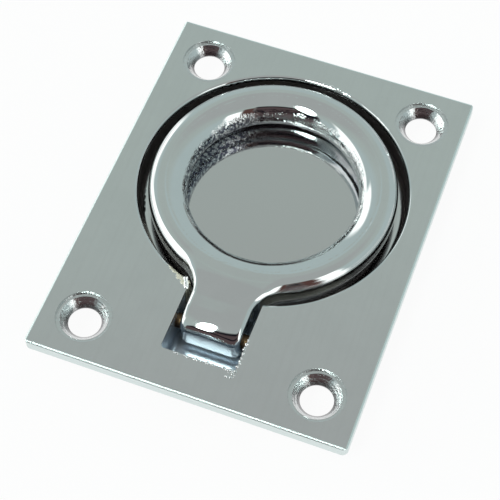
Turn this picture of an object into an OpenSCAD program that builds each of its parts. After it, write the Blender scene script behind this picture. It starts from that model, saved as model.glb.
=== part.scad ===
// Flush lift ring: a cast face plate with a round recess and a hinge pocket,
// a cast ring with a flat stem, and the pin that the stem turns on. Millimetres.
// Z = 0 is the seating face at the back of the plate, +Z points out of the front
// and +Y towards the ring's free end. X runs along the hinge.

/* [Face plate] */
// Width of the plate, along the hinge
plate_w = 48; // [47:0.5:60]
// Length of the plate
plate_l = 62; // [60:0.5:76]
// Thickness of the plate
plate_t = 1.8; // [1.7:0.1:3]
// Radius of the plate's corners
corner_r = 1; // [0.6:0.1:3]
// Rounding of the plate's front edges
edge_r = 0.4; // [0.2:0.05:0.6]
// Wall of the casting round the recess and the pocket
wall_t = 1.6; // [1.2:0.1:2.5]
// Metal behind the deeper of the recess and the pocket, down to the flat back
floor_t = 1.2; // [1:0.1:2.5]

/* [Screw holes] */
// Hole spacing across the plate
hole_x = 35; // [30:0.5:38]
// Hole spacing along the plate
hole_y = 49; // [47:0.5:53]
// Bore for the screw
hole_d = 4.8; // [4.2:0.1:5.2]
// Countersink at the front face
sink_d = 8.3; // [8:0.1:9]
// Included angle of the countersink
sink_angle = 80; // [78:1:90]
// Depth of the step round the countersink
step_h = 0.3; // [0.2:0.05:0.4]
// Width of that step
step_w = 0.65; // [0.4:0.05:0.8]

/* [Ring] */
// Distance from the plate's centre to the ring's centre
ring_y = 5.9; // [4:0.1:7]
// Outside diameter of the ring
ring_d = 37.4; // [34:0.1:38]
// Thickness of the ring's round bar
bar_d = 5.8; // [4.5:0.1:6.4]
// Height of the ring's top above the plate's front face
ring_rise = 1.5; // [1:0.1:2]

/* [Recess] */
// Gap between the ring and the wall of the recess
recess_gap = 1.6; // [1:0.1:2.4]
// Gap between the ring and the floor that it lies over
floor_gap = 0.2; // [0.15:0.05:0.8]
// Fillet between the floor and the wall of the recess
recess_fillet = 1; // [0.5:0.1:1.5]
// Rounding of the recess's edge at the front face
mouth_r = 0.5; // [0.3:0.05:0.8]

/* [Stem] */
// Width of the stem
stem_w = 9.2; // [7:0.1:11]
// How far the stem's flat top lies below the ring's top
stem_drop = 0.5; // [0.2:0.05:0.8]
// Rounding of the stem's long edges
stem_edge_r = 1; // [0.5:0.1:1.4]
// Radius of the stem's end corners, seen from the front
stem_end_r = 1.5; // [0.8:0.1:2.5]
// Radius of the fillets between the stem and the ring
neck_r = 3.2; // [2:0.1:5]

/* [Hinge] */
// Distance from the ring's centre to the hinge axis
hinge_reach = 24.7; // [24:0.1:27]
// Diameter of the hinge pin
pin_d = 2.2; // [1.8:0.1:2.6]
// Metal between the pin and the plate's back face
pin_cover = 0.05; // [0.05:0.05:0.5]
// Running clearance round the pin in the knuckle
pin_clear = 0.05; // [0.02:0.01:0.1]
// Length of the pin held in each wall of the pocket
pin_seat = 2.5; // [2:0.1:4]
// Distance from the hinge axis to the knuckle's end face, at its top
knuckle_end = 2.4; // [2.2:0.1:3]
// Distance from the hinge axis to the knuckle's underside
knuckle_under = 2.5; // [2.2:0.05:2.8]
// Length of the knuckle's underside behind the hinge axis
knuckle_heel = 3.3; // [2:0.1:3.8]
// Draft of the knuckle's end face, below the rounded nose
end_draft = 3.5; // [0:0.5:5]
// Rounding of the stem's nose, above the end face
nose_r = 2.4; // [1.5:0.1:2.6]
// Rounding of the knuckle's lower end edge
foot_r = 0.5; // [0.3:0.1:1]
// Gap between the stem and each wall of the pocket
side_gap = 1; // [0.4:0.1:1.5]
// Gap between the knuckle's end face and the pocket's front wall
front_gap = 3.9; // [2:0.1:5]
// Gap under the knuckle as it turns
swing_gap = 0.2; // [0.2:0.05:1]
// Fillet along the pocket's floor
pocket_fillet = 0.8; // [0.4:0.1:1]
// Radius of the pocket's front corners
pocket_corner_r = 0.7; // [0.3:0.1:1.2]

/* [Hidden] */
$fn = 64;

// Room beyond a face, so that a cut passes clean through it
over = 1;
// A corner cylinder stands this much outside the sides that it joins
shy = 0.03;
// How far the neck's fillets run on into the ring
neck_sink = 0.3;

bar_r = bar_d / 2;
ring_r = ring_d / 2;
hoop_r = ring_r - bar_r;
ring_top = plate_t + ring_rise;
ring_z = ring_top - bar_r;

recess_r = ring_r + recess_gap;
recess_z = ring_z - bar_r - floor_gap;

hinge_y = ring_y - hinge_reach;
pin_z = -pin_d / 2 - pin_cover;
bore_d = pin_d + 2 * pin_clear;
stem_top = ring_top - stem_drop;
knuckle_y = hinge_y - knuckle_end;
knuckle_z = pin_z - knuckle_under;
heel_y = hinge_y + knuckle_heel;
stem_under = ring_z - bar_r + stem_drop;

nose_z = stem_top - nose_r;
foot_y = knuckle_y + (nose_z - knuckle_z) * tan(end_draft);
foot_run = foot_r * tan(45 - end_draft / 2);

swing_r = norm([foot_y + foot_run - hinge_y, knuckle_under - foot_r]) + foot_r;
pocket_w = stem_w + 2 * side_gap;
pocket_y = knuckle_y - front_gap;
pocket_z = pin_z - swing_r - swing_gap;
pocket_end = ring_y - recess_r + wall_t;
boss_w = pocket_w + 2 * pin_seat;
back_z = min(recess_z, pocket_z) - floor_t;

// A rectangle from corner to corner with its four corners rounded
module round_box(x0, y0, x1, y1, r) {
  translate([x0 + r, y0]) square([x1 - x0 - 2 * r, y1 - y0]);
  translate([x0, y0 + r]) square([x1 - x0, y1 - y0 - 2 * r]);
  for (x = [x0 + r, x1 - r], y = [y0 + r, y1 - r])
    translate([x, y]) circle(r);
}

// The sliver between a square corner and its rounding, to cut an outer edge round
module edge_cut(r) {
  difference() {
    translate([0, -r]) square([r, r + over]);
    translate([r, -r]) circle(r);
  }
}

// An outline in X and Z, run along Y from y0 to y1
module along_y(y0, y1) {
  translate([0, y1, 0]) rotate([90, 0, 0]) linear_extrude(y1 - y0) children();
}

// An outline in Y and Z, run across X over the width w
module across_x(w) {
  rotate([90, 0, 90]) linear_extrude(w, center = true) children();
}

// The flat plate with rounded corners and a rounded front edge
module plate_blank() {
  intersection() {
    along_y(-plate_l / 2 - over, plate_l / 2 + over)
      round_box(-plate_w / 2, -plate_t, plate_w / 2, plate_t, edge_r);
    across_x(plate_w + 2 * over)
      round_box(-plate_l / 2, -plate_t, plate_l / 2, plate_t, edge_r);
    linear_extrude(plate_t + over)
      round_box(-plate_w / 2 - shy, -plate_l / 2 - shy, plate_w / 2 + shy, plate_l / 2 + shy, corner_r);
  }
}

// The outside of the recess behind the plate
module recess_shell() {
  translate([0, ring_y, back_z]) cylinder(r = recess_r + wall_t, h = plate_t / 2 - back_z);
}

// The outside of the hinge pocket behind the plate
module pocket_shell() {
  translate([0, 0, back_z]) linear_extrude(plate_t / 2 - back_z)
    round_box(-boss_w / 2, pocket_y - wall_t, boss_w / 2, pocket_end + wall_t, wall_t);
}

// The round space that the ring lies in
module recess_space() {
  translate([0, ring_y, 0]) rotate_extrude() {
    translate([0, recess_z + recess_fillet]) square([recess_r, plate_t - recess_z]);
    translate([0, recess_z]) square([recess_r - recess_fillet, plate_t - recess_z]);
    translate([recess_r - recess_fillet, recess_z + recess_fillet]) circle(recess_fillet);
    translate([recess_r, plate_t]) edge_cut(mouth_r);
  }
}

// The space that the knuckle turns in
module pocket_space() {
  top = plate_t + over;
  intersection() {
    along_y(pocket_y, pocket_end)
      round_box(-pocket_w / 2, pocket_z, pocket_w / 2, top + pocket_fillet, pocket_fillet);
    translate([0, 0, pocket_z - over]) linear_extrude(top + over - pocket_z)
      round_box(-pocket_w / 2 - shy, pocket_y - shy, pocket_w / 2 + shy, ring_y, pocket_corner_r);
  }
}

// One countersunk screw hole
module screw_hole() {
  cone_r = sink_d / 2 - step_w;
  cone_h = (cone_r - hole_d / 2) / tan(sink_angle / 2);
  step_z = plate_t - step_h;
  rotate_extrude() {
    translate([0, -over]) square([hole_d / 2, step_z + over]);
    polygon([[0, step_z - cone_h], [hole_d / 2, step_z - cone_h], [cone_r, step_z], [0, step_z]]);
    translate([0, step_z]) square([sink_d / 2, step_h + over]);
  }
}

module hinge_bore(d, length) {
  translate([0, hinge_y, pin_z]) rotate([0, 90, 0]) cylinder(d = d, h = length, center = true);
}

// The stem's side view: flat top, round nose, drafted end face, deep knuckle and a sloped underside
module stem_side() {
  polygon([
    [knuckle_y + nose_r, stem_top],
    [knuckle_y, nose_z],
    [foot_y - foot_run * sin(end_draft), knuckle_z + foot_run * cos(end_draft)],
    [foot_y + foot_run, knuckle_z],
    [heel_y, knuckle_z],
    [ring_y - ring_r, stem_under],
    [ring_y - hoop_r, stem_under],
    [ring_y - hoop_r, stem_top]
  ]);
  translate([knuckle_y + nose_r, nose_z]) circle(nose_r);
  translate([foot_y + foot_run, knuckle_z + foot_r]) circle(foot_r);
}

module stem() {
  intersection() {
    across_x(stem_w + 2 * over) stem_side();
    along_y(knuckle_y - over, ring_y)
      round_box(-stem_w / 2, knuckle_z, stem_w / 2, stem_top, stem_edge_r);
    translate([0, 0, knuckle_z - over]) linear_extrude(stem_top - knuckle_z + 2 * over)
      round_box(-stem_w / 2 - shy, knuckle_y - shy, stem_w / 2 + shy, ring_y, stem_end_r);
  }
}

// The two hollow fillets that widen the stem into the ring, with half-round edges like the ring's
module neck() {
  half_h = stem_top - ring_z;
  meet_r = ring_r - neck_sink;
  cut_x = stem_w / 2 + neck_r;
  cut_y = -sqrt(pow(meet_r + neck_r, 2) - cut_x * cut_x);
  meet = meet_r / (meet_r + neck_r);
  for (side = [0, 1]) mirror([side, 0, 0]) translate([0, ring_y, ring_z]) difference() {
    translate([0, 0, -half_h]) linear_extrude(2 * half_h)
      polygon([[0, -hoop_r], [cut_x * meet, cut_y * meet], [cut_x, cut_y], [0, cut_y]]);
    translate([cut_x, cut_y, 0]) rotate_extrude() difference() {
      translate([0, -half_h - over]) square([neck_r + half_h, 2 * (half_h + over)]);
      translate([neck_r + half_h + shy, 0]) circle(half_h + shy);
    }
  }
}

module plate() {
  color("silver") difference() {
    union() {
      plate_blank();
      recess_shell();
      pocket_shell();
    }
    recess_space();
    pocket_space();
    for (x = [-1, 1], y = [-1, 1])
      translate([x * hole_x / 2, y * hole_y / 2, 0]) screw_hole();
    hinge_bore(pin_d, boss_w + 2 * over);
  }
}

module lift_ring() {
  color("gainsboro") {
    translate([0, ring_y, ring_z]) rotate_extrude() translate([hoop_r, 0]) circle(bar_r);
    difference() {
      union() {
        stem();
        neck();
      }
      hinge_bore(bore_d, stem_w + 2 * over);
    }
  }
}

module hinge_pin() {
  color("darkgoldenrod") hinge_bore(pin_d, boss_w);
}

plate();
lift_ring();
hinge_pin();
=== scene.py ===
import math
import random

import bmesh
import bpy
import numpy as np
from mathutils import Matrix, Vector


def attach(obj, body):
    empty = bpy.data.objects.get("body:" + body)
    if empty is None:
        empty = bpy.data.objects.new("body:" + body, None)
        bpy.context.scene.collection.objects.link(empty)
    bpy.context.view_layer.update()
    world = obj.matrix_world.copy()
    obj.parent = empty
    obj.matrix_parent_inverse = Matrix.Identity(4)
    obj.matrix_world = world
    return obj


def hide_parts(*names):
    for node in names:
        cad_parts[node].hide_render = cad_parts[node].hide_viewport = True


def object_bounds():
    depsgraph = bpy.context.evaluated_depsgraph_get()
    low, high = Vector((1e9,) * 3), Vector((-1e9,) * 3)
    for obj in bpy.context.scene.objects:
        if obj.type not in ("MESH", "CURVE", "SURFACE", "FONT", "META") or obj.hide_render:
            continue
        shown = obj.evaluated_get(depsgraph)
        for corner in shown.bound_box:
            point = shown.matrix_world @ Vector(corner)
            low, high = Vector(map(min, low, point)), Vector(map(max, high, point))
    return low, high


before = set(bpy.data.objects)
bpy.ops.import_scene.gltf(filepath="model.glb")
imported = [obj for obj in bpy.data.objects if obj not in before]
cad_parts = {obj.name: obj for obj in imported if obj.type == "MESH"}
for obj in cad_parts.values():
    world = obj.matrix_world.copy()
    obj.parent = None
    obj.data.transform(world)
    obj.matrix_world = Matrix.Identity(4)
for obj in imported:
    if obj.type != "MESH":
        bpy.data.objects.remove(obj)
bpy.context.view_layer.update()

MM = 0.001

# Camera, from the plate's corners and round holes in the photograph, in millimetres.
CAMERA_AT = Vector((39.45, -112.02, 188.21)) * MM
CAMERA_LOOKS_AT = Vector((0.67, -5.85, 1.8)) * MM
CAMERA_ROLL = math.radians(0.436)
CAMERA_LENS = 107.82

# Ring, stem, recess and pocket, in millimetres, as the solids have them.
RING_Y = 5.9
HOOP_R = 15.8
BAR_R = 2.9
RING_Z = 0.4
STEM_HALF_W = 4.6
STEM_TOP = 2.8
STEM_FRONT = -21.2
NOSE_R = 2.4
NOSE_FALL = 0.105
NOSE_CROWN = 0.026
SHOULDER_R = 1.9
END_DRAFT = math.radians(3.5)
KNUCKLE_BOTTOM = -3.65
HINGE_Y = -18.8
HINGE_Z = -1.15
BORE_R = 1.15
FACE_Z = 1.8
PLATE_HALF_W = 24.0
PLATE_HALF_L = 31.0
RECESS_R = 20.3
RECESS_Z = -2.7
POCKET_HALF_W = 5.6
POCKET_FRONT = -25.1
HOLE_X = 17.5
HOLE_Y = 24.5
HOLE_MARK_R = 4.8
POCKET_BACK = -13.0
CORNER_X = -5.8
CORNER_Y = -14.3
CHIP_X = -9.5
CHIP_Y = -11.4
CHIP_END_Y = -15.2

# The ring's profile, in millimetres: where the stem begins and ends its change, and its rounded edges.
STEM_CLEAR = -16.0
HOOP_CLEAR = -12.0
STEM_BACK = -11.0
STEM_CORNER_R = 1.3
NECK_FILLET = 3.4
STEM_EDGE_R = 0.8
KNUCKLE_EDGE_R = 1.0
BORE_EDGE_R = 0.15
INNER_DISH = 0.27
MESH_PITCH = 0.22
MESH_MARGIN = 0.6

BUMP_DEPTH = 0.08
BEAD_SEED = 7
FLOOR_HALF = 3.0
FLOOR_GAP = 0.00002
FLOOR_GLOW = 0.93
DEGREES = 180 / math.pi

CHROME_TINT = (0.67, 0.69, 0.69, 1.0)
CHROME_HAZE = (0.65, 0.67, 0.67, 1.0)
CHROME_DEEP_SHADE = (0.22, 0.21, 0.215, 1.0)
CHROME_GAP_WALL_SHADE = (0.42, 0.375, 0.37, 1.0)
CHROME_EDGE_SHEEN = (0.74, 0.82, 0.81, 1.0)
CHROME_CHIP_HIGHLIGHT = (0.86, 0.81, 0.67, 1.0)
CHROME_UNDERSIDE_SHADE = (0.32, 0.335, 0.375, 1.0)
CHROME_PITS_PAINTED_DARK = (0.09, 0.095, 0.13, 1.0)
CHROME_SATIN = (0.58, 0.65, 0.73, 1.0)
CHROME_DULL = (0.90, 0.88, 0.80, 1.0)
CHROME_TURNED = (0.615, 0.62, 0.62, 1.0)
BRASS_TINT = (0.20, 0.13, 0.07, 1.0)
BRASS_STAIN = (0.10, 0.06, 0.035, 1.0)

CLOTH_LOW = (0.53, 0.63, 0.63, 1)
CLOTH_MIDDLE = (0.51, 0.58, 0.555, 1)
CLOTH_TOP = (0.482, 0.51, 0.503, 1)
OPENING_DARK = (0.11, 0.078, 0.08, 1)
OPENING_BLACK = (0.008, 0.008, 0.012, 1)
OPENING_BROWN = (0.12, 0.062, 0.055, 1)
PANEL_WHITE = (1.8, 1.85, 1.82, 1)
LAMP_WHITE = (11.0, 12.8, 12.3, 1)
FLOOR_BASE = (0.95, 0.95, 0.95, 1)
WHITE = (1.0, 1.0, 1.0, 1)


class Value:
    """A socket in a node tree, which adds Math nodes as it is reckoned with."""

    def __init__(self, tree, socket=None):
        self.tree = tree
        self.socket = socket

    def node(self, kind, settings=None, outlet=0, **inlets):
        made = self.tree.nodes.new(kind)
        for name, value in (settings or {}).items():
            setattr(made, name, value)
        for name, value in inlets.items():
            key = int(name[1:]) if name[0] == "_" else name.replace("_", " ")
            plug(self.tree, made.inputs[key], value)
        return Value(self.tree, made.outputs[outlet] if made.outputs else None)

    def maths(self, operation, *terms):
        return self.node("ShaderNodeMath", {"operation": operation},
                         **{"_%d" % i: term for i, term in enumerate(terms)})

    def __add__(self, other): return self.maths("ADD", self, other)
    def __radd__(self, other): return self.maths("ADD", other, self)
    def __sub__(self, other): return self.maths("SUBTRACT", self, other)
    def __rsub__(self, other): return self.maths("SUBTRACT", other, self)
    def __mul__(self, other): return self.maths("MULTIPLY", self, other)
    def __rmul__(self, other): return self.maths("MULTIPLY", other, self)
    def __truediv__(self, other): return self.maths("DIVIDE", self, other)
    def __rtruediv__(self, other): return self.maths("DIVIDE", other, self)


def plug(tree, inlet, value):
    if isinstance(value, Value):
        tree.links.new(value.socket, inlet)
    else:
        inlet.default_value = value


def rises(value, low, high):
    """0 below low, 1 above high, and a smooth rise between them."""
    return value.node("ShaderNodeMapRange", {"interpolation_type": "SMOOTHSTEP"},
                      Value=value, From_Min=low, From_Max=high)


def fades(value, low, high):
    """1 below low and 0 above high."""
    return 1 - rises(value, low, high)


def most(first, *others):
    """The largest of some values."""
    for other in others:
        first = first.maths("MAXIMUM", first, other)
    return first


def parts(vector):
    """The three numbers of a vector."""
    split = vector.node("ShaderNodeSeparateXYZ", Vector=vector).socket.node
    return [Value(vector.tree, outlet) for outlet in split.outputs]


def blend(tree, share, first, second):
    return Value(tree).node("ShaderNodeMix", {"data_type": "RGBA"}, outlet=2,
                            _0=share, _6=first, _7=second)


def coats(tree, colour, layers):
    """Colours laid over each other, each as far as its share says."""
    for share, layer in layers:
        colour = blend(tree, share, colour, layer)
    return colour


class Finish:
    """A metal's material, with its place on the part in millimetres to reckon from."""

    def __init__(self, name):
        self.material = bpy.data.materials.new(name)
        self.material.use_nodes = True
        self.tree = self.material.node_tree
        self.shader = self.tree.nodes["Principled BSDF"]
        self.start = Value(self.tree)
        coordinates = self.start.node("ShaderNodeTexCoord", outlet="Object")
        self.place = self.start.node("ShaderNodeVectorMath", {"operation": "SCALE"},
                                     _0=coordinates, Scale=1 / MM)
        self.x, self.y, self.z = parts(self.place)
        self.from_centre = self.reach(self.x, self.y - RING_Y)

    def reach(self, across, along):
        return self.start.maths("SQRT", across * across + along * along)

    def noise(self, scale, detail=2.0, rough=0.5):
        return self.start.node("ShaderNodeTexNoise", Vector=self.place,
                               Scale=scale, Detail=detail, Roughness=rough)

    def lines(self, way, scale, detail, rough=0.5):
        """Grooves side by side along a way, each of its own depth."""
        return self.start.node("ShaderNodeTexNoise", {"noise_dimensions": "1D"}, W=way,
                               Scale=scale, Detail=detail, Roughness=rough)

    def lay(self, colour, roughness, height, depth, metallic=1.0):
        """Joins the parts up; depth is the height's full range in millimetres."""
        plug(self.tree, self.shader.inputs["Base Color"], colour)
        plug(self.tree, self.shader.inputs["Roughness"], roughness)
        plug(self.tree, self.shader.inputs["Metallic"], metallic)
        normal = self.start.node("ShaderNodeBump", Height=height, Distance=depth * MM)
        plug(self.tree, self.shader.inputs["Normal"], normal)
        return self.material


def polished(finish, rough_zone):
    """Chrome with a faint orange peel and haze, and nodules of plating where it wasn't polished."""
    peel = finish.noise(0.7)
    haze = finish.noise(0.22, 4.0, 0.6)
    lumps = finish.noise(2.6, 2.0, 0.6)
    colour = blend(finish.tree, rises(haze, 0.3, 0.7), CHROME_TINT, CHROME_HAZE)
    roughness = 0.03 + 0.04 * haze + 0.02 * rough_zone
    height = 0.02 * peel + rough_zone * lumps
    return colour, roughness, height


def chipped_corner_highlight(finish):
    """Where the plating broke away between the recess and the pocket, with its crumbs; its bright cream
    colour is partly a painted highlight.
    """
    x, y, z, r = finish.x, finish.y, finish.z, finish.from_centre
    off_face = fades(z, FACE_Z - 0.1, FACE_Z - 0.03) + rises(z, FACE_Z + 0.005, FACE_Z + 0.015)
    corner = fades(finish.reach(x - CORNER_X, y - CORNER_Y), 1.0, 1.5) * off_face
    border = RECESS_R + 0.35 + rises(x, CHIP_X, -POCKET_HALF_W) + 1.2 * (finish.noise(1.6) - 0.5)
    chip = fades(r - border, -0.04, 0.04) * rises(r, RECESS_R - 0.6, RECESS_R - 0.4)
    chip = chip * rises(z, FACE_Z - 1.6, FACE_Z - 1.0)
    chip = chip * rises(x, CHIP_X - 0.3, CHIP_X + 0.3) * fades(x, 0.3 - POCKET_HALF_W, 0.5 - POCKET_HALF_W)
    chip = chip * fades(y, CHIP_Y - 0.2, CHIP_Y + 0.2) * rises(y, CHIP_END_Y - 0.2, CHIP_END_Y + 0.2)
    return most(corner, chip)


def plate_chrome():
    finish = Finish("plate_chrome")
    x, y, z, r = finish.x, finish.y, finish.z, finish.from_centre
    across, along = (finish.start.maths("ABSOLUTE", way) for way in (x, y))
    from_hole = finish.reach(across - HOLE_X, along - HOLE_Y)
    in_recess = fades(r, RECESS_R + 0.1, RECESS_R + 0.2)
    on_floor = fades(r, RECESS_R - 1.4, RECESS_R - 1.2) * fades(z, RECESS_Z, RECESS_Z + 0.2)
    in_gap = rises(r, RECESS_R - 1.0, RECESS_R - 0.4) * in_recess * fades(z, FACE_Z - 1.0, FACE_Z - 0.5)
    gap_floor = rises(r, RECESS_R - 1.1, RECESS_R - 0.8) * in_recess
    gap_floor = gap_floor * fades(z, RECESS_Z + 0.4, RECESS_Z + 1.2) * fades(y, -7.0, -3.0)
    in_hole = fades(from_hole, HOLE_MARK_R - 0.1, HOLE_MARK_R) * fades(z, FACE_Z - 0.08, FACE_Z - 0.04)
    in_pocket = fades(across, POCKET_HALF_W + 0.2, POCKET_HALF_W + 0.4) * fades(z, FACE_Z - 0.6, FACE_Z - 0.2)
    in_pocket = in_pocket * rises(y, POCKET_FRONT - 0.3, POCKET_FRONT - 0.1)
    in_pocket = in_pocket * fades(y, POCKET_BACK - 0.5, POCKET_BACK)
    on_edge = most(rises(across, PLATE_HALF_W - 0.45, PLATE_HALF_W - 0.25),
                   rises(along, PLATE_HALF_L - 0.45, PLATE_HALF_L - 0.25))
    chipped_and_highlight = chipped_corner_highlight(finish)
    # The cutter's grooves in the sinks differ between the near and the far holes.
    cuts = finish.lines(from_hole - 0.6 * z + 9 * rises(y, -1, 1), 2.6, 3.0, 0.6)
    streaks = finish.lines(x + 0.03 * y, 1.3, 4.0)
    turned = finish.lines(r, 3.0, 3.0, 0.7)
    colour, roughness, height = polished(finish, 0.7 * in_hole + chipped_and_highlight)
    colour = coats(finish.tree, colour, (
        (0.15 * rises(streaks, 0.4, 0.7), CHROME_TURNED),
        # Painted sheen: the plate's outer edges are coloured pale turquoise to stand in for the bright floor
        # reflected there.
        (on_edge, CHROME_EDGE_SHEEN),
        # Painted shade: the recess wall in the gap round the ring is darkened below its upper edge.
        (in_gap, CHROME_GAP_WALL_SHADE),
        (gap_floor, CHROME_DULL),
        (in_pocket, CHROME_SATIN),
        (on_floor, CHROME_TURNED),
        # Bare metal where the plating chipped, coloured bright cream as a painted highlight at the pocket's
        # corner.
        (chipped_and_highlight, CHROME_CHIP_HIGHLIGHT),
        # Painted shade: a dark ring at the bottom of each countersink, round the through hole.
        (0.8 * in_hole * fades(from_hole, 2.6, 3.0), CHROME_DEEP_SHADE),
    ))
    height = height + 0.012 * on_floor * turned + 1.1 * in_hole * cuts
    roughness = roughness + 0.02 * on_floor + 0.08 * in_hole + 0.3 * in_gap
    roughness = roughness + 0.2 * in_pocket + 0.35 * on_edge
    dull = most(0.85 * gap_floor, 0.7 * chipped_and_highlight, 0.33 * in_pocket)
    return finish.lay(colour, roughness, height, BUMP_DEPTH, 1 - dull)


def ring_chrome():
    finish = Finish("ring_chrome")
    x, y, z, r = finish.x, finish.y, finish.z, finish.from_centre
    inside = fades(r, HOOP_R - 1.4, HOOP_R - 1.0)
    band = rises(z, RING_Z - 0.3, RING_Z + 0.3) * fades(z, RING_Z + 1.2, RING_Z + 1.9)
    patches = rises(finish.noise(0.5), 0.35, 0.6)
    nose = fades(y, STEM_FRONT + 0.3, STEM_FRONT + 0.7) * rises(z, 0.2, 0.5) * fades(z, 0.9, 1.3)
    under = fades(z, RING_Z - 0.6, RING_Z + 0.1) * rises(y, HOOP_CLEAR - 1.5, HOOP_CLEAR)
    in_gap = under * rises(r, HOOP_R + 1.2, HOOP_R + 2.0)
    flank = rises(r, HOOP_R + 1.6, HOOP_R + 2.0) * rises(y, HOOP_CLEAR - 2.0, HOOP_CLEAR)
    ground = finish.lines(z + 0.05 * finish.noise(0.4), 5.0, 2.0)
    lower = inside * fades(z, RING_Z - 0.8, RING_Z - 0.2) * (0.15 + 0.8 * fades(x, -6.0, -2.5))
    colour, roughness, height = polished(finish, inside * band * (0.6 + 1.8 * patches) + lower + nose)
    pitted_painted_dark = inside * fades(x, -10.0, -3.0) * fades(z, RING_Z + 0.8, RING_Z + 1.6)
    specks = finish.noise(2.2)
    underside_patches = rises(finish.noise(0.7, 3.0, 0.6), 0.35, 0.6)
    height = height + 0.35 * flank * ground + 0.6 * pitted_painted_dark * specks
    colour = coats(finish.tree, colour, (
        # Painted shade: the ring's underside is darkened in random patches, less so on its inside.
        (under * (0.45 + 0.5 * underside_patches) * (1 - 0.4 * inside), CHROME_UNDERSIDE_SHADE),
        # Pits in the plating on the ring's inner left side; their near-black colour is a painted dark
        # reflection there.
        (pitted_painted_dark * fades(specks, 0.44, 0.6), CHROME_PITS_PAINTED_DARK),
        # Painted shade: the ring's outer lower flank, down in the gap, is painted near-black.
        (in_gap, CHROME_DEEP_SHADE),
    ))
    return finish.lay(colour, roughness + 0.2 * in_gap, height, BUMP_DEPTH)


def pin_brass():
    finish = Finish("pin_brass")
    stain = finish.noise(1.5, 4.0, 0.65)
    drawn = finish.lines(finish.y + 0.6 * finish.z, 9.0, 2.0)
    colour = blend(finish.tree, rises(stain, 0.35, 0.65), BRASS_TINT, BRASS_STAIN)
    return finish.lay(colour, 0.3 + 0.2 * stain, drawn + 0.5 * stain, 0.02)


def wear(node, material):
    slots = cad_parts[node].data.materials
    slots.clear()
    slots.append(material)


def ease(value, low, high):
    share = np.clip((value - low) / (high - low), 0, 1)
    return share * share * (3 - 2 * share)


def round_edge(first, second, radius):
    """What two cut faces leave, with the edge between them rounded."""
    reach = np.hypot(np.maximum(first + radius, 0), np.maximum(second + radius, 0))
    return np.minimum(np.maximum(first, second), -radius) + reach


def hollow_fillet(first, second, radius):
    """Two solids joined, with the inside corner between them filled."""
    reach = np.hypot(np.maximum(radius - first, 0), np.maximum(radius - second, 0))
    return np.maximum(np.minimum(first, second), radius) - reach


def ring_field(x, y, z):
    """Distance out of the ring casting: a round hoop that flows into its flat stem and knuckle."""
    hoop = np.abs(np.hypot(x, y - RING_Y) - HOOP_R) - BAR_R
    front = STEM_FRONT + np.maximum(STEM_TOP - NOSE_R - z, 0) * math.tan(END_DRAFT)
    stem = round_edge(np.abs(x) - STEM_HALF_W, front - y, STEM_CORNER_R)
    stem = np.maximum(stem, y - STEM_BACK)
    outline = hollow_fillet(hoop, stem, NECK_FILLET)
    on_stem = 1 - ease(y, STEM_CLEAR, HOOP_CLEAR)
    at_end = 1 - ease(y, STEM_FRONT, STEM_FRONT + 4.0)
    top = RING_Z + BAR_R + (STEM_TOP - RING_Z - BAR_R) * on_stem
    top = top - NOSE_FALL * np.maximum(STEM_FRONT + 3.6 - y, 0) ** 2
    top = top - NOSE_CROWN * (1 - ease(y, STEM_FRONT, STEM_FRONT + 5.5)) * (x + 0.6) ** 2
    bottom = RING_Z - BAR_R + (KNUCKLE_BOTTOM - RING_Z + BAR_R) * (1 - ease(y, STEM_CLEAR, HOOP_CLEAR - 0.8))
    outer = ease(np.hypot(x, y - RING_Y), HOOP_R, HOOP_R + 0.8)
    shoulder = BAR_R + (SHOULDER_R - BAR_R) * outer
    upper_round = shoulder + (STEM_EDGE_R - shoulder) * (1 - ease(y, -13.5, -9.5)) - 0.1 * at_end
    lower_round = BAR_R + (KNUCKLE_EDGE_R - BAR_R) * on_stem
    dished = 1 - INNER_DISH * (1 - outer) * (1 - on_stem)
    solid = round_edge(outline * dished, z - top, upper_round)
    solid = round_edge(solid, bottom - z, lower_round)
    bore = BORE_R - np.hypot(y - HINGE_Y, z - HINGE_Z)
    return round_edge(solid, bore, BORE_EDGE_R)


def slope(field, at):
    small = 0.01
    rises_by = [field(*(at + axis).T) - field(*(at - axis).T) for axis in np.eye(3) * small]
    return np.stack(rises_by, -1) / (2 * small)


def settle(field, at, rounds):
    """Points moved along the slope onto the surface."""
    for _ in range(rounds):
        way = slope(field, at)
        off = field(*at.T)[:, None] / np.maximum((way ** 2).sum(-1), 0.05)[:, None]
        at = at - np.clip(off, -0.3, 0.3) * way
    return at


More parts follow.
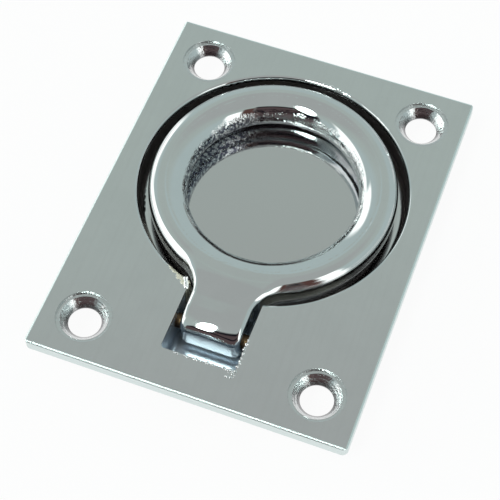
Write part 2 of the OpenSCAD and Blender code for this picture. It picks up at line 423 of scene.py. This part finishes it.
def field_mesh(name, field, low, high, pitch):
    """A closed quad mesh of the surface where the field is zero."""
    counts = [int(math.ceil((b - a) / pitch)) + 1 for a, b in zip(low, high)]
    axes = [a + pitch * np.arange(n) for a, n in zip(low, counts)]
    inside = field(*np.meshgrid(*axes, indexing="ij")) < 0
    full = np.ones([n - 1 for n in counts], bool)
    empty = full.copy()
    for i in (0, 1):
        for j in (0, 1):
            for k in (0, 1):
                part = inside[i:counts[0] - 1 + i, j:counts[1] - 1 + j, k:counts[2] - 1 + k]
                full &= part
                empty &= ~part
    cells = ~(full | empty)
    number = np.full(cells.shape, -1)
    number[cells] = np.arange(cells.sum())
    points = np.argwhere(cells) * pitch + np.array(low) + pitch / 2
    quads = []
    for axis in range(3):
        near = np.moveaxis(inside, axis, 0)
        ids = np.moveaxis(number, axis, 0)
        out = near[:-1, 1:-1, 1:-1] & ~near[1:, 1:-1, 1:-1]
        into = ~near[:-1, 1:-1, 1:-1] & near[1:, 1:-1, 1:-1]
        turn = axis == 1
        for found, flip in ((out, turn), (into, not turn)):
            i, j, k = np.nonzero(found)
            corner = [ids[i, j, k], ids[i, j + 1, k], ids[i, j + 1, k + 1], ids[i, j, k + 1]]
            quads.append(np.stack(corner[::-1] if flip else corner, -1))
    quads = np.concatenate(quads)
    points = settle(field, points, 6)
    for _ in range(4):
        total = np.zeros_like(points)
        count = np.zeros(len(points))
        for a, b in ((0, 1), (1, 2), (2, 3), (3, 0)):
            for one, other in ((a, b), (b, a)):
                np.add.at(total, quads[:, one], points[quads[:, other]])
                np.add.at(count, quads[:, one], 1)
        points = settle(field, total / count[:, None], 3)
    mesh = bpy.data.meshes.new(name)
    mesh.from_pydata((points * MM).tolist(), [], quads.tolist())
    mesh.polygons.foreach_set("use_smooth", [True] * len(quads))
    facing = slope(field, points)
    facing /= np.linalg.norm(facing, axis=1)[:, None]
    mesh.normals_split_custom_set_from_vertices(facing.tolist())
    return mesh


def lift_ring():
    side, far = HOOP_R + BAR_R + MESH_MARGIN, RING_Y + HOOP_R + BAR_R + MESH_MARGIN
    low = (-side, STEM_FRONT - MESH_MARGIN, KNUCKLE_BOTTOM - MESH_MARGIN)
    high = (side, far, RING_Z + BAR_R + MESH_MARGIN)
    mesh = field_mesh("ring_casting", ring_field, low, high, MESH_PITCH)
    piece = bpy.data.objects.new("ring_casting", mesh)
    bpy.context.scene.collection.objects.link(piece)
    mesh.materials.append(ring_chrome())
    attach(piece, "ring")
    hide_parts("lift_ring")


def nodules():
    """Crumbs of plating that gathered along the sharp edges of the pocket and the recess."""
    chance = random.Random(BEAD_SEED)
    beads = bmesh.new()

    def bead(x, y, size):
        """A low six-sided crumb, one side of it near enough to the front to catch the lamp."""
        pitch = math.tan(math.radians(chance.uniform(22, 34)))
        first = chance.gauss(-math.pi / 3, 0.12)
        rings = []
        for reach, z in ((size, -0.02), (size * 0.25, size * 0.75 * pitch)):
            around = [first + math.pi / 3 * k for k in range(6)]
            corners = [Vector((x + reach * math.cos(a), y + reach * math.sin(a), FACE_Z + z)) for a in around]
            rings.append([beads.verts.new(corner * MM) for corner in corners])
        low, high = rings
        for k in range(6):
            beads.faces.new((low[k - 1], low[k], high[k], high[k - 1]))
        beads.faces.new(high)
        beads.faces.new(low[::-1])

    for _ in range(40):
        bead(chance.uniform(-3.4, POCKET_HALF_W), POCKET_FRONT + chance.uniform(-0.2, 0.02),
             chance.uniform(0.12, 0.26))
    for _ in range(24):
        bead(POCKET_HALF_W + chance.uniform(0, 0.25), chance.uniform(POCKET_FRONT, -19.5),
             chance.uniform(0.12, 0.26))
    for _ in range(8):
        bead(chance.uniform(4.6, 6.4), POCKET_FRONT - chance.uniform(0.2, 1.1), chance.uniform(0.12, 0.28))
    for _ in range(16):
        turn = math.radians(chance.uniform(74, 88))
        reach = RECESS_R + chance.uniform(0.3, 0.6)
        bead(reach * math.cos(turn), RING_Y + reach * math.sin(turn), chance.uniform(0.15, 0.3))
    for _ in range(22):
        along = chance.random()
        bead(-6.4 + 0.75 * along, -13.4 - 1.7 * along, chance.uniform(0.2, 0.4))
    mesh = bpy.data.meshes.new("plating_nodules")
    beads.to_mesh(mesh)
    beads.free()
    piece = bpy.data.objects.new("plating_nodules", mesh)
    bpy.context.scene.collection.objects.link(piece)
    mesh.materials.append(bpy.data.materials["plate_chrome"])
    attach(piece, "base")


wear("plate", plate_chrome())
wear("hinge_pin", pin_brass())
lift_ring()
nodules()


def studio_world():
    """A plain light tent: grey cloth, white panels at the sides, and a lamp and a dark opening in front."""
    world = bpy.data.worlds.new("studio")
    world.use_nodes = True
    tree = world.node_tree
    tree.nodes.clear()
    start = Value(tree)
    x, y, z = parts(start.node("ShaderNodeTexCoord", outlet="Generated"))
    # Degrees to the left of the front, and degrees up.
    turn = start.maths("ARCTAN2", 0 - x, 0 - y) * DEGREES
    rise = start.maths("ARCSINE", z) * DEGREES

    def panel(right, left, low, high, soft):
        across = rises(turn, right - soft, right + soft) * fades(turn, left - soft, left + soft)
        upward = rises(rise, low - soft, low + soft) * fades(rise, high - soft, high + soft)
        return across * upward

    def sheet(at_turn, at_rise, half_wide, half_tall, soft):
        """A flat oval sheet square to a way out, its half sizes as tangents seen from the part."""
        t, e = math.radians(at_turn), math.radians(at_rise)
        ahead = x * (-math.sin(t) * math.cos(e)) + y * (-math.cos(t) * math.cos(e)) + z * math.sin(e)
        across = x * -math.cos(t) + y * math.sin(t)
        upward = x * (math.sin(t) * math.sin(e)) + y * (math.cos(t) * math.sin(e)) + z * math.cos(e)
        wide, tall = across / ahead / half_wide, upward / ahead / half_tall
        inside = fades(wide * wide + tall * tall, 1 - soft, 1 + soft)
        return inside * rises(ahead, 0.0, 0.05)

    # The left panel's top edge falls away from the camera.
    left_top = 45 - 0.7 * (turn - 60)
    left = panel(53, 128, -40, 60, 5) * fades(rise - left_top, -5, 5)
    cloth = blend(tree, rises(rise, 38, 54), CLOTH_LOW, CLOTH_MIDDLE)
    cloth = coats(tree, cloth, (
        (rises(rise, 54, 67), CLOTH_TOP),
        (panel(-43, 31, -40, 59, 3), OPENING_DARK),
        (panel(-43, 31, 55, 59, 1.5), OPENING_BLACK),
        (panel(-43, 31, 34, 46, 3), OPENING_BLACK),
        (panel(-57, -43, -40, 56, 2), OPENING_BROWN),
        (left, PANEL_WHITE),
        (panel(110, 136, 4, 30, 4), PANEL_WHITE),
        (panel(-76, -58, -40, 50, 3), PANEL_WHITE),
        (sheet(21, 58, 0.11, 0.21, 0.15), LAMP_WHITE),
    ))
    start.node("ShaderNodeOutputWorld", Surface=start.node("ShaderNodeBackground", Color=cloth))
    bpy.context.scene.world = world


def studio_floor():
    low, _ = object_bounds()
    z = low[2] - FLOOR_GAP
    corners = [(FLOOR_HALF * x, FLOOR_HALF * y, z) for x, y in ((-1, -1), (1, -1), (1, 1), (-1, 1))]
    mesh = bpy.data.meshes.new("floor")
    mesh.from_pydata(corners, [], [(0, 1, 2, 3)])
    floor = bpy.data.objects.new("floor", mesh)
    bpy.context.scene.collection.objects.link(floor)
    material = bpy.data.materials.new("floor_white")
    material.use_nodes = True
    tree = material.node_tree
    shader = tree.nodes["Principled BSDF"]
    shader.inputs["Base Color"].default_value = FLOOR_BASE
    shader.inputs["Roughness"].default_value = 0.9
    start = Value(tree)
    rays = ("Is Camera Ray", "Is Glossy Ray", "Is Transmission Ray")
    shown = most(*(start.node("ShaderNodeLightPath", outlet=ray) for ray in rays))
    glow = start.node("ShaderNodeEmission", Color=WHITE, Strength=1.0)
    matt = Value(tree, shader.outputs[0])
    mixed = start.node("ShaderNodeMixShader", _0=FLOOR_GLOW * shown, _1=matt, _2=glow)
    plug(tree, tree.nodes["Material Output"].inputs["Surface"], mixed)
    mesh.materials.append(material)


def camera():
    data = bpy.data.cameras.new("camera")
    data.sensor_fit = "HORIZONTAL"
    data.sensor_width = 36.0
    data.lens = CAMERA_LENS
    data.clip_start = 0.001
    data.clip_end = 20.0
    made = bpy.data.objects.new("camera", data)
    bpy.context.scene.collection.objects.link(made)
    look = (CAMERA_LOOKS_AT - CAMERA_AT).to_track_quat("-Z", "Y").to_matrix().to_4x4()
    made.matrix_world = Matrix.Translation(CAMERA_AT) @ look @ Matrix.Rotation(CAMERA_ROLL, 4, "Z")
    bpy.context.scene.camera = made


studio_world()
studio_floor()
camera()
bpy.context.scene.view_settings.view_transform = "Standard"
